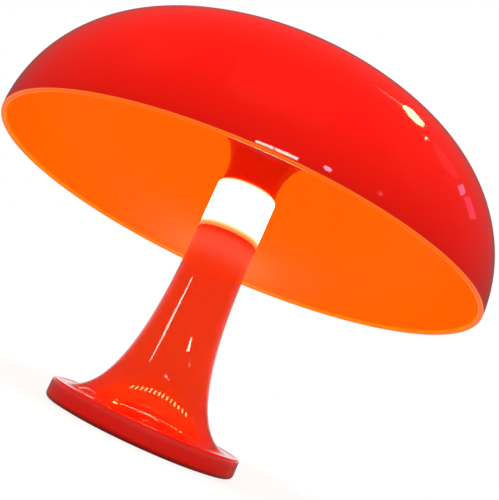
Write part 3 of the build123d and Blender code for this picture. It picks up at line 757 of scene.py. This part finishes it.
def makePad(s):
    bm, start = startOutline(s["outer"], s["top"])
    tip = lineTo(bm, start, s["inner"], s["top"])
    tip = lineTo(bm, tip, s["inner"], s["round"])
    tip = arcAbout(bm, tip, s["inner"] + s["round"], s["round"], math.pi / 2, s["steps"])
    tip = lineTo(bm, tip, s["outer"] - s["round"], 0)
    tip = arcAbout(bm, tip, s["outer"] - s["round"], s["round"], math.pi / 2, s["steps"])
    bm.edges.new((tip, start))
    lathe(bm, s["turnSteps"])
    return bm


finishPiece("gripPad", makePad(pad), "base", ["foot_pad"], [finishes["silicone"]])

coverScrew = {
    "head": 2.8, "headDepth": 1.2, "headEdge": 0.35, "headRound": 1.1, "core": 1.05,
    "crest": 1.38, "length": 9.5, "pitch": 0.8, "plain": 1.0, "neck": 0.6, "point": (0.2, 0.6),
    "cross": (3.0, 0.62), "crossDepth": 0.8, "crossTaper": 0.5, "crossCorner": 0.1,
    "crossPast": 0.1, "crossSteps": 2, "steps": 6, "headSteps": 5,
    "turnEach": 1.3,  # so that no two crosses stand alike
}


def makeCoverScrew(s):
    # made with its head upwards, then turned over into the cover
    core, crest = disc(s["core"], s["steps"]), disc(s["crest"], s["steps"])
    bm = bmesh.new()
    rings = [(disc(s["point"][0], s["steps"]), -s["length"])]
    at = s["point"][1] - s["length"]
    while at < -s["plain"]:
        rings += [(core, at), (crest, at + s["pitch"] / 2)]
        at += s["pitch"]
    rings += [(core, -s["neck"]), (core, 0), (disc(s["head"], s["steps"]), 0)]
    for step in range(s["headSteps"] + 1):
        angle = step / s["headSteps"] * math.pi / 2
        rings.append((disc(s["head"] - s["headRound"] * (1 - math.cos(angle)), s["steps"]),
                      s["headDepth"] * (s["headEdge"] + (1 - s["headEdge"]) * math.sin(angle))))
    stack(bm, rings)
    long, thick = s["cross"]
    for width, height in ((long, thick), (thick, long)):  # the two arms of the cross
        arm = bmesh.new()
        rings = []
        for share, at in ((s["crossTaper"], -s["crossDepth"]), (1, s["crossPast"])):
            slot = outline(width * share, height * share, s["crossCorner"], s["crossSteps"])
            rings.append((slot, s["headDepth"] + at))
        stack(arm, rings)
        bm = cutAway(bm, arm)
    one = bpy.data.meshes.new("coverScrew")
    bm.to_mesh(one)
    bm.free()
    row = bmesh.new()
    for at in cover["screwDegrees"]:
        copied = one.copy()
        over = (Matrix.Rotation(math.pi, 4, "X")
                @ Matrix.Rotation(math.radians(at * s["turnEach"]), 4, "Z"))
        copied.transform(around(cover["screwCircle"], at, cover["seat"]) @ over)
        row.from_mesh(copied)
    return row


finishPiece("coverScrews", makeCoverScrew(coverScrew), "base", ["plate_screws"],
            [finishes["zinc_steel"]])
print("underside made")


# threaded cap that holds the drum and carries the shade

cap = {
    "locator": 12.2, "bottom": 169.3, "flange": 15.9, "flangeBottom": 171.8, "flangeTop": 173.4,
    "core": 10.9, "crest": 11.9, "top": 183.0, "well": 5.6, "wellBottom": 174.5, "bore": 2.15,
    "edge": 0.3, "topEdge": 0.6, "threadStart": 175.0, "threadEnd": 181.4, "pitch": 3.0,
    "threadSteps": 48, "threadRoot": 0.95, "threadCrest": 0.4, "threadSeat": 0.2,
    "turnSteps": 96,
}


def makeCap(s):
    edge, topEdge = s["edge"], s["topEdge"]
    bore, core, flange, well = s["bore"], s["core"], s["flange"], s["well"]
    bm = turnOutline([
        (bore, s["bottom"]), (s["locator"] - edge, s["bottom"]),
        (s["locator"], s["bottom"] + edge), (s["locator"], s["flangeBottom"]),
        (flange - edge, s["flangeBottom"]), (flange, s["flangeBottom"] + edge),
        (flange, s["flangeTop"] - edge), (flange - edge, s["flangeTop"]),
        (core, s["flangeTop"]), (core, s["top"] - topEdge), (core - topEdge, s["top"]),
        (well + edge, s["top"]), (well, s["top"] - edge), (well, s["wellBottom"]),
        (bore, s["wellBottom"])], s["turnSteps"])
    # one blunt thread, wound up as a right-hand screw from its cross-section
    turns = (s["threadEnd"] - s["threadStart"]) / s["pitch"]
    steps = round(turns * s["threadSteps"])
    seat = s["core"] - s["threadSeat"]
    corners = [(seat, -s["threadRoot"]), (s["crest"], -s["threadCrest"]),
               (s["crest"], s["threadCrest"]), (seat, s["threadRoot"])]
    end = bm.faces.new([bm.verts.new((x * mm, 0, (s["threadStart"] + z) * mm))
                        for x, z in corners])
    bmesh.ops.spin(bm, geom=[end], cent=(0, 0, 0), axis=(0, 0, 1), angle=turns * math.tau,
                   dvec=(0, 0, s["pitch"] / s["threadSteps"] * mm), steps=steps)
    bmesh.ops.remove_doubles(bm, verts=bm.verts, dist=0.001 * mm)
    bmesh.ops.recalc_face_normals(bm, faces=bm.faces)
    return bm


finishPiece("threadedCap", makeCap(cap), "base", ["spigot_cap"], [finishes["nylon"]])
print("cap made")


# finishes of the nodes that stay as they are

for subpart in frame["record"]["subparts"]:
    for held in frame["nodes"][subpart["node"]].material_slots:
        held.material = finishes[subpart["material_slot"]]
print("finishes given")


# camera: the photograph's view, low, tilted up and rolled

camera = {
    "place": (0, -0.4214, 0.0381), "nearest": 0.01,  # metres
    "yaw": -0.0282, "pitch": 0.1980, "roll": 0.4274,  # radians
    "lens": 47.73, "sensor": 36,  # millimetres
    "shift": 0.096,  # as a share of the picture's height
    "picture": (499, 500),  # the photograph's pixels, across and down
}


def cameraStand(c):
    turned = (Matrix.Rotation(-c["yaw"], 4, "Z") @ Matrix.Rotation(math.pi / 2 + c["pitch"], 4, "X")
              @ Matrix.Rotation(c["roll"], 4, "Z"))
    return Matrix.Translation(c["place"]) @ turned


def placeCamera(c):
    data = bpy.data.cameras.new("camera")
    data.sensor_width = c["sensor"]
    data.lens = c["lens"]
    data.shift_x = c["shift"]
    data.clip_start = c["nearest"]
    held = bpy.data.objects.new("camera", data)
    bpy.context.scene.collection.objects.link(held)
    held.matrix_world = cameraStand(c)
    bpy.context.scene.camera = held


placeCamera(camera)


# floor, white surroundings and lamps

surroundings = {
    "fill": 0.54,          # what the room adds to every matt surface
    "ceiling": 0.11,       # how the room mirrors in gloss overhead; near eye level it is white
    "whiteUpTo": 0.03,     # as the Z of a direction, behind the lamp
    "dimFrom": 0.26,
    "frontLower": 0.10,    # how much lower the room in front of the lamp goes dim
    "frontToBack": (-0.1, 0.4),   # as the Y of a direction
    "floorHalf": 12,       # metres from the middle to a side
    "floorDrop": 0.0002,   # metres below the pad, so that the two faces don't meet
    "floorColour": "#6E6E6C",
    "floorLift": (0.84, 1.0),     # under the lamp, where its shadow shows, and far off
    "floorMirror": (0.05, 0.5),
    "floorRing": (0.12, 0.7),     # metres from the axis between which they change
}


def makeFloor(s):
    bm = bmesh.new()
    bmesh.ops.create_grid(bm, x_segments=1, y_segments=1, size=s["floorHalf"])
    bmesh.ops.translate(bm, verts=bm.verts, vec=(0, 0, -s["floorDrop"]))
    mesh = bpy.data.meshes.new("floor")
    bm.to_mesh(mesh)
    bm.free()
    # matt white paper, which is as bright as the photograph's ground except in the lamp's shade
    material, tree, shader, place = startMaterial("palePaper", {
        "Base Color": linear(s["floorColour"]), "Roughness": 0.9, "Specular IOR Level": 0.1,
        "Emission Color": (1, 1, 1, 1)})
    rays = addNode(tree, "ShaderNodeLightPath", {})
    away = addNode(tree, "ShaderNodeVectorMath", {"operation": "LENGTH"})
    tree.links.new(place, away.inputs[0])
    shares = []
    for lift, kinds in ((s["floorLift"], ("Is Camera Ray", "Is Transmission Ray")),
                        (s["floorMirror"], ("Is Glossy Ray",))):
        level = smoothStep(tree, away.outputs["Value"], *s["floorRing"], *lift)
        shown = mostOf(tree, [rays.outputs[kind] for kind in kinds])
        shares.append(combine(tree, "MULTIPLY", level, shown))
    tree.links.new(mostOf(tree, shares), shader.inputs["Emission Strength"])
    mesh.materials.append(material)
    floor = bpy.data.objects.new("floor", mesh)
    bpy.context.scene.collection.objects.link(floor)


def makeWorld(s):
    world = bpy.data.worlds.new("paleRoom")
    bpy.context.scene.world = world
    world.use_nodes = True
    tree = world.node_tree
    tree.nodes.clear()
    rays = addNode(tree, "ShaderNodeLightPath", {})
    direction = addNode(tree, "ShaderNodeTexCoord", {}).outputs["Generated"]
    parts = addNode(tree, "ShaderNodeSeparateXYZ", {}, {"Vector": direction})
    lower = smoothStep(tree, parts.outputs["Y"], *s["frontToBack"], s["frontLower"], 0.0)
    rise = combine(tree, "ADD", parts.outputs["Z"], lower)
    fade = smoothStep(tree, rise, s["whiteUpTo"], s["dimFrom"], 1.0, s["ceiling"])
    shown = mostOf(tree, [rays.outputs["Is Camera Ray"], rays.outputs["Is Transmission Ray"]])
    white = mostOf(tree, [fade, shown])
    seen = mostOf(tree, [rays.outputs["Is Glossy Ray"], shown])
    strength = addNode(tree, "ShaderNodeMapRange", {"To Min": s["fill"]},
                       {"Value": seen, "To Max": white})
    sky = addNode(tree, "ShaderNodeBackground", {"Color": (1, 1, 1, 1)},
                  {"Strength": strength.outputs["Result"]})
    addNode(tree, "ShaderNodeOutputWorld", {}, {"Surface": sky.outputs[0]})


lampMiddle = (0, 0, 0.14)  # metres, where the soft lamps point


def addLamp(name, away, distance, size, brightness, colour="#FFFFFF", target=lampMiddle,
            outwards=False):
    # brightness is what a mirror facing the lamp would show
    data = bpy.data.lights.new(name, "AREA")
    data.shape = "RECTANGLE"
    data.size, data.size_y = size
    data.color = linear(colour)[:3]
    data.energy = brightness * math.pi * size[0] * size[1]
    lamp = bpy.data.objects.new(name, data)
    lamp.visible_glossy = outwards
    lamp.visible_camera = False
    bpy.context.scene.collection.objects.link(lamp)
    away = Vector(away).normalized()
    facing = -away if outwards else away
    lamp.matrix_world = (Matrix.Translation(Vector(target) + away * distance)
                         @ facing.to_track_quat("Z", "Y").to_matrix().to_4x4())


# soft light from above, a little in front, that shows each colour about as it is
softLamps = {
    "overheadSoft": {"away": (-0.05, -0.60, 0.80), "size": (1.2, 1.2), "brightness": 6.5},
    "leftSoft": {"away": (-0.80, -0.35, 0.72), "size": (0.7, 0.7), "brightness": 6.8},
    "rightSoft": {"away": (0.80, -0.35, 0.72), "size": (0.7, 0.7), "brightness": 6.8},
}
for name, settings in softLamps.items():
    addLamp(name, distance=2.0, **settings)

# what the drum gives out, on the six sides that its strips face
drumLight = {"radius": 21.0, "middle": 154.5, "size": (0.019, 0.030), "brightness": 46.0,
             "colour": "#FFE9CC", "sides": 6}
for side in range(drumLight["sides"]):
    angle = (side + 0.5) * math.tau / drumLight["sides"]
    addLamp(f"drumLight{side}", (math.cos(angle), math.sin(angle), 0), drumLight["radius"] * mm,
            drumLight["size"], drumLight["brightness"], drumLight["colour"],
            (0, 0, drumLight["middle"] * mm), outwards=True)


# highlights: windows and lamps of the room, on bright cards that only gloss shows

def addCard(name, colour, brightness, outlines):
    bm = bmesh.new()
    for corners in outlines:
        bm.faces.new([bm.verts.new(corner) for corner in corners])
    mesh = bpy.data.meshes.new(name)
    bm.to_mesh(mesh)
    bm.free()
    glow = startMaterial(name, {"Base Color": (0, 0, 0, 1), "Emission Color": linear(colour),
                                "Emission Strength": brightness})
    mesh.materials.append(glow[0])
    card = bpy.data.objects.new(name, mesh)
    bpy.context.scene.collection.objects.link(card)
    for ray in ("camera", "diffuse", "transmission", "volume_scatter", "shadow"):
        setattr(card, "visible_" + ray, False)


def sightLine(point, c):
    # the way that the camera looks through a point of the picture
    width, height = c["picture"]
    pixel = c["sensor"] / c["lens"] / height
    across = (point[0] + 0.5 - width / 2 + c["shift"] * height) * pixel
    up = (height / 2 - point[1] - 0.5) * pixel
    return (cameraStand(c).to_3x3() @ Vector((across, up, -1))).normalized()


def mirroredPlace(piece, point, away):
    # what the gloss at a point of the picture mirrors from so many metres away
    sight = sightLine(point, camera)
    solid = piece.evaluated_get(bpy.context.evaluated_depsgraph_get())
    struck = solid.ray_cast(camera["place"], sight)
    spot, face = struck[1], piece.data.polygons[struck[3]]
    shares = poly_3d_calc([piece.data.vertices[corner].co for corner in face.vertices], spot)
    normal = Vector()
    for share, loop in zip(shares, face.loop_indices):
        normal += piece.data.corner_normals[loop].vector * share
    return spot + sight.reflect(normal.normalized()) * away


# each is drawn where the photograph shows it, in its pixels across and down; a card close to
# the piece shows in one place only, and one far off is mirrored by the whole dome
farOff, closeBy, overFoot = 1.2, 0.012, 0.010  # metres
highlights = [
    # name, piece, how far away, colour, brightness and outlines
    ("warmWindow", "domeShell", farOff, "#FFE9A8", 13, [
        [(401.6, 105.5), (404.3, 104.6), (411.4, 109.1), (423.9, 123.4), (422.1, 126.4),
         (416.8, 123.4), (408.8, 116.3)]]),
    ("warmWindowEdge", "domeShell", farOff, "#FFB090", 2.5, [
        [(371, 83), (386, 93), (401.6, 104), (401.4, 105.6), (386, 94.2)]]),
    ("smallLamp", "domeShell", farOff, "#FFF0E0", 12, [
        [(424.5, 136.5), (427, 136.8), (427, 139), (424.5, 139)],
        [(379, 192.3), (380.6, 192.6), (380.4, 194.2), (378.9, 194)]]),
    ("paleWall", "domeShell", farOff, "#FF9AA8", 0.55, [
        [(431, 138), (441, 150), (451, 163), (458, 178), (452, 176), (442, 165), (435, 151)]]),
    ("pinkWindow", "domeShell", farOff, "#FF86B4", 4.5, [
        [(457, 186), (462.3, 183.4), (465, 192), (460.5, 195.5)]]),
    ("pinkWindowBelow", "domeShell", farOff, "#FF6A92", 2.2, [
        [(463.2, 197), (468.6, 196), (475.7, 218), (469.5, 218.6)]]),
    ("lipLines", "domeShell", closeBy, "#FFE6DC", 30, [
        [(254.5, 141.6), (255.6, 139.4), (273.5, 146.6), (272.6, 149.2)],
        [(274.2, 149.9), (275.1, 147.3), (298, 157.4), (296.9, 160.1)]]),
    ("lipGlint", "domeShell", closeBy, "#FFC8E8", 20, [
        [(322.8, 167), (324.6, 164.8), (330.6, 167.4), (331.6, 170.2), (329.4, 171.4),
         (324.6, 169.6)]]),
    ("stemTube", "stemAndFoot", closeBy, "#FFE6DE", 26, [
        [(191.7, 276.1), (192.5, 276.5), (181.8, 298.7), (170.6, 321.3), (149.7, 360.6),
         (148.9, 360.2), (168.1, 321.7), (180.2, 298.3)]]),
    ("stemWindow", "stemAndFoot", closeBy, "#FFF2EC", 30, [
        [(190.6, 336.8), (191.6, 337), (188.9, 351), (185.9, 350.6)]]),
    ("stemWindowBelow", "stemAndFoot", closeBy, "#FF9E90", 8, [
        [(188, 362.3), (190.4, 362.6), (189.8, 366.8), (188, 366.4)]]),
    ("footLamps", "stemAndFoot", overFoot, "#FFC878", 22, [
        [(111.8, 400.9), (114.5, 400.8), (117, 402.4), (116.8, 403.8), (113, 402.6)]]),
    ("footEdge", "stemAndFoot", overFoot, "#FFB8A0", 2.2, [
        [(74, 384.5), (80, 386.6), (93.5, 397.2), (92.5, 398), (79, 388.4)]]),
]
for name, pieceName, away, colour, brightness, outlines in highlights:
    piece = bpy.data.objects[pieceName]
    addCard(name, colour, brightness,
            [[mirroredPlace(piece, point, away) for point in points] for points in outlines])

# a painted reflection on the foot, a dashed row of small lamps: bright bars side by side over it,
# on an arc that sinks to its ends
lampRow = {
    "count": 14, "degrees": (239.5, 311), "radius": 40.6, "height": 37.6, "sag": 19,
    "highest": 0.44, "lean": 0.5, "barDegrees": 2.2, "barHeight": 2.6, "colour": "#FFC27C",
    "brightness": 34,
}


def lampBars(s):
    first, last = s["degrees"]
    half, rise = s["barDegrees"] / 2, s["barHeight"] / 2
    bars = []
    for at in range(s["count"]):
        share = at / (s["count"] - 1)
        middle = first + (last - first) * share
        level = s["height"] - s["sag"] * (share - s["highest"]) ** 2
        bars.append([around(s["radius"], middle + side * half + up * s["lean"],
                            level + up * rise).translation
                     for side, up in ((-1, -1), (1, -1), (1, 1), (-1, 1))])
    return bars


addCard("lampRow", lampRow["colour"], lampRow["brightness"], lampBars(lampRow))
makeFloor(surroundings)
makeWorld(surroundings)
print("lamps made")
bpy.context.scene.view_settings.view_transform = "Standard"
